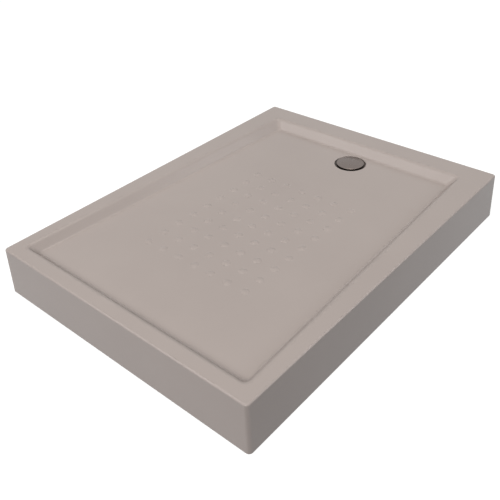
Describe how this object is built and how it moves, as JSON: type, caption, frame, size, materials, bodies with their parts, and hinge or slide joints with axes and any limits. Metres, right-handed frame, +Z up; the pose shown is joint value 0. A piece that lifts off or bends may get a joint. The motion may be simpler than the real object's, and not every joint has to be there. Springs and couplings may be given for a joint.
{
  "type": "shower tray",
  "caption": "Rectangular shower tray with an apron, a tapered basin with grip bumps, a trapped waste with a lift-off cover, and levelling feet under a steel frame.",
  "frame": {"origin": "centre of the footprint on the floor, under the feet when they are wound right in", "axes": "+X along the long side towards the waste, +Y to the rear long side, +Z up"},
  "size_m": [1.2, 0.9, 0.15],
  "materials": {
    "acrylic": "gloss acrylic, warm pale grey",
    "glassfibre": "rough glass fibre and resin",
    "chipboard": "raw chipboard",
    "softwood": "sawn softwood",
    "galvanised_steel": "galvanised",
    "zinc_plate": "bright zinc plate",
    "chrome_plate": "polished chrome",
    "stainless_steel": "satin",
    "white_plastic": "moulded, satin",
    "grey_plastic": "moulded, satin",
    "black_plastic": "moulded, matt",
    "black_rubber": "matt"
  },
  "bodies": {
    "tray": {"tray_shell": "acrylic", "glassfibre_backing": "glassfibre", "floor_board": "chipboard", "front_batten": "softwood", "rear_batten": "softwood", "plain_end_batten": "softwood", "waste_end_batten": "softwood", "front_rail": "galvanised_steel", "rear_rail": "galvanised_steel", "cross_member_1": "galvanised_steel", "cross_member_2": "galvanised_steel", "cross_member_3": "galvanised_steel", "rail_end_caps": "black_plastic", "frame_screws": "zinc_plate", "weld_nuts": "zinc_plate", "lock_nuts": "zinc_plate", "waste_flange": "chrome_plate", "flange_screws": "stainless_steel", "upper_seal": "black_rubber", "lower_seal": "black_rubber", "trap_body": "white_plastic", "outlet_seal": "black_rubber", "outlet_nut": "white_plastic", "outlet_bend": "white_plastic", "bend_seal": "black_rubber"},
    "dip_tube": {"dip_tube": "grey_plastic", "dip_tube_ring": "black_rubber"},
    "waste_cover": {"waste_cover": "chrome_plate", "cover_stem": "grey_plastic"},
    "leg_foot_1": {"leg_foot_1": "black_plastic"},
    "leg_stud_1": {"leg_stud_1": "zinc_plate"},
    "leg_foot_2": {"leg_foot_2": "black_plastic"},
    "leg_stud_2": {"leg_stud_2": "zinc_plate"},
    "leg_foot_3": {"leg_foot_3": "black_plastic"},
    "leg_stud_3": {"leg_stud_3": "zinc_plate"},
    "leg_foot_4": {"leg_foot_4": "black_plastic"},
    "leg_stud_4": {"leg_stud_4": "zinc_plate"},
    "leg_foot_5": {"leg_foot_5": "black_plastic"},
    "leg_stud_5": {"leg_stud_5": "zinc_plate"},
    "leg_foot_6": {"leg_foot_6": "black_plastic"},
    "leg_stud_6": {"leg_stud_6": "zinc_plate"}
  },
  "joints": [
    {"name": "dip_tube_lift", "type": "slide", "parent": "tray", "child": "dip_tube", "axis": [0, 0, 1], "range_m": [0, 0.11]},
    {"name": "cover_lift", "type": "slide", "parent": "dip_tube", "child": "waste_cover", "axis": [0, 0, 1], "range_m": [0, 0.04]},
    {"name": "leg_1_travel", "type": "slide", "parent": "tray", "child": "leg_foot_1", "axis": [0, 0, -1], "range_m": [0, 0.02]},
    {"name": "leg_1_turn", "type": "hinge", "parent": "leg_foot_1", "child": "leg_stud_1", "pos_m": [-0.5, -0.3, 0.026], "axis": [0, 0, -1], "range_deg": [0, 4800]},
    {"name": "leg_2_travel", "type": "slide", "parent": "tray", "child": "leg_foot_2", "axis": [0, 0, -1], "range_m": [0, 0.02]},
    {"name": "leg_2_turn", "type": "hinge", "parent": "leg_foot_2", "child": "leg_stud_2", "pos_m": [0, -0.3, 0.026], "axis": [0, 0, -1], "range_deg": [0, 4800]},
    {"name": "leg_3_travel", "type": "slide", "parent": "tray", "child": "leg_foot_3", "axis": [0, 0, -1], "range_m": [0, 0.02]},
    {"name": "leg_3_turn", "type": "hinge", "parent": "leg_foot_3", "child": "leg_stud_3", "pos_m": [0.5, -0.3, 0.026], "axis": [0, 0, -1], "range_deg": [0, 4800]},
    {"name": "leg_4_travel", "type": "slide", "parent": "tray", "child": "leg_foot_4", "axis": [0, 0, -1], "range_m": [0, 0.02]},
    {"name": "leg_4_turn", "type": "hinge", "parent": "leg_foot_4", "child": "leg_stud_4", "pos_m": [-0.5, 0.3, 0.026], "axis": [0, 0, -1], "range_deg": [0, 4800]},
    {"name": "leg_5_travel", "type": "slide", "parent": "tray", "child": "leg_foot_5", "axis": [0, 0, -1], "range_m": [0, 0.02]},
    {"name": "leg_5_turn", "type": "hinge", "parent": "leg_foot_5", "child": "leg_stud_5", "pos_m": [0, 0.3, 0.026], "axis": [0, 0, -1], "range_deg": [0, 4800]},
    {"name": "leg_6_travel", "type": "slide", "parent": "tray", "child": "leg_foot_6", "axis": [0, 0, -1], "range_m": [0, 0.02]},
    {"name": "leg_6_turn", "type": "hinge", "parent": "leg_foot_6", "child": "leg_stud_6", "pos_m": [0.5, 0.3, 0.026], "axis": [0, 0, -1], "range_deg": [0, 4800]}
  ],
  "couplings": [
    {"joint": "leg_1_turn", "follows": "leg_1_travel", "rad_per_m": 4188.8},
    {"joint": "leg_2_turn", "follows": "leg_2_travel", "rad_per_m": 4188.8},
    {"joint": "leg_3_turn", "follows": "leg_3_travel", "rad_per_m": 4188.8},
    {"joint": "leg_4_turn", "follows": "leg_4_travel", "rad_per_m": 4188.8},
    {"joint": "leg_5_turn", "follows": "leg_5_travel", "rad_per_m": 4188.8},
    {"joint": "leg_6_turn", "follows": "leg_6_travel", "rad_per_m": 4188.8}
  ]
}
